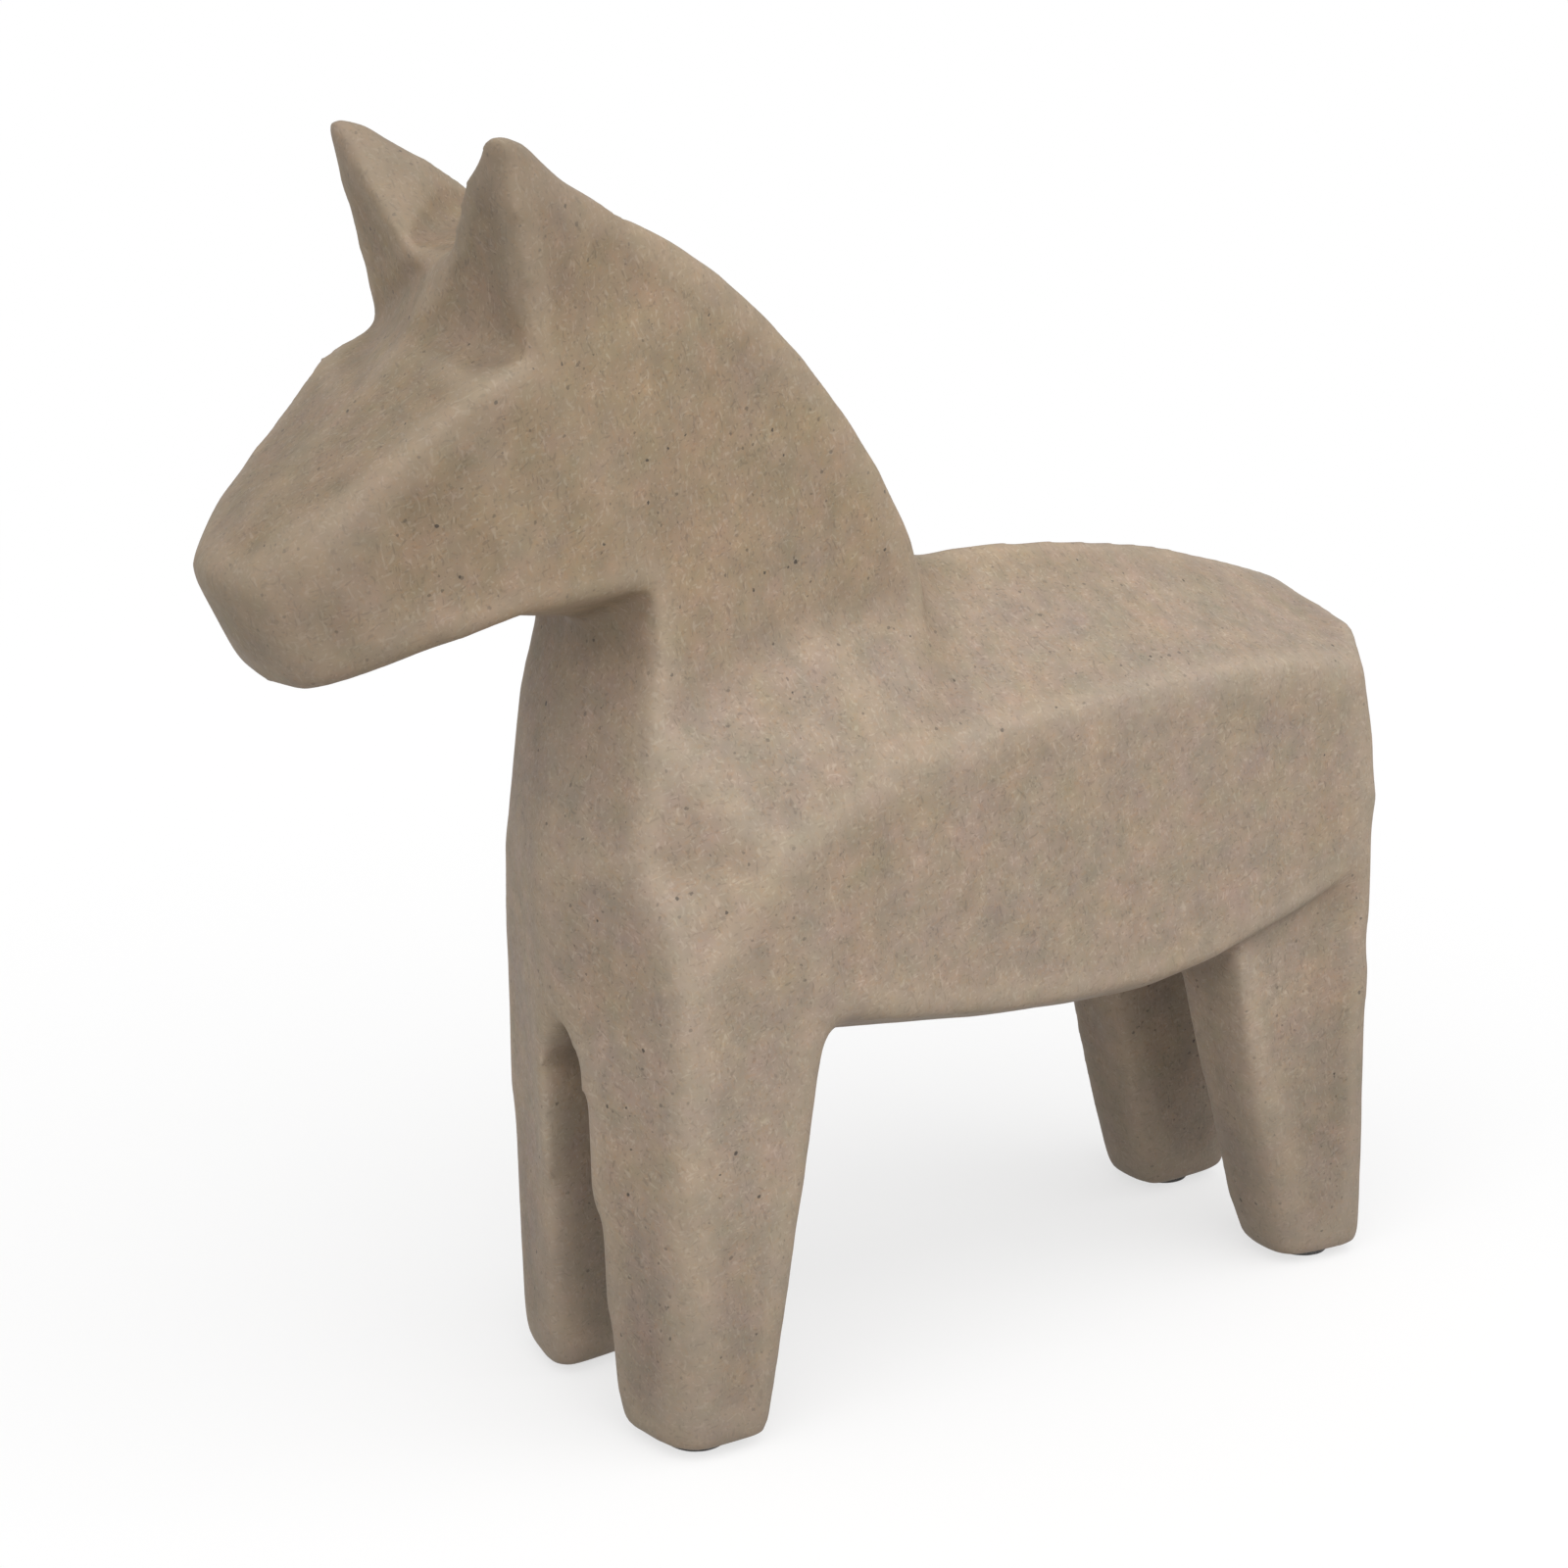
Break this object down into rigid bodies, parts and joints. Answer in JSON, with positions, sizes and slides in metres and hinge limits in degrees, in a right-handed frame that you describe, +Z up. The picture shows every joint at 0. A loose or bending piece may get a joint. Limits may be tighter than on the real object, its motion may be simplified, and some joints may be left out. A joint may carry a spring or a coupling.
{
  "type": "horse figurine",
  "caption": "Standing faceted horse ornament in speckled stone-powder resin, with a flat felt-padded rest under its feet.",
  "frame": {"origin": "on the surface the horse stands on, below the middle of its length and width", "axes": "+Z up, the horse looks towards -Y, its left side is +X"},
  "size_m": [0.0664, 0.2261, 0.2222],
  "materials": {
    "stone_resin": "matte, fine speckle",
    "bead_resin": "satin",
    "filler": "matte",
    "steel_wire": "drawn wire, satin",
    "steel_pin": "satin",
    "felt": "matte felt"
  },
  "bodies": {
    "root": {"left_shell": "stone_resin", "right_shell": "stone_resin", "seam_bead": "bead_resin", "belly_plug": "filler", "leg_rod_front_left": "steel_wire", "leg_rod_front_right": "steel_wire", "leg_rod_hind_left": "steel_wire", "leg_rod_hind_right": "steel_wire", "locating_pin_crest": "steel_pin", "locating_pin_breast": "steel_pin", "locating_pin_belly": "steel_pin", "locating_pin_rump": "steel_pin", "foot_pad_front_left": "felt", "foot_pad_front_right": "felt", "foot_pad_hind_left": "felt", "foot_pad_hind_right": "felt"}
  },
  "joints": []
}
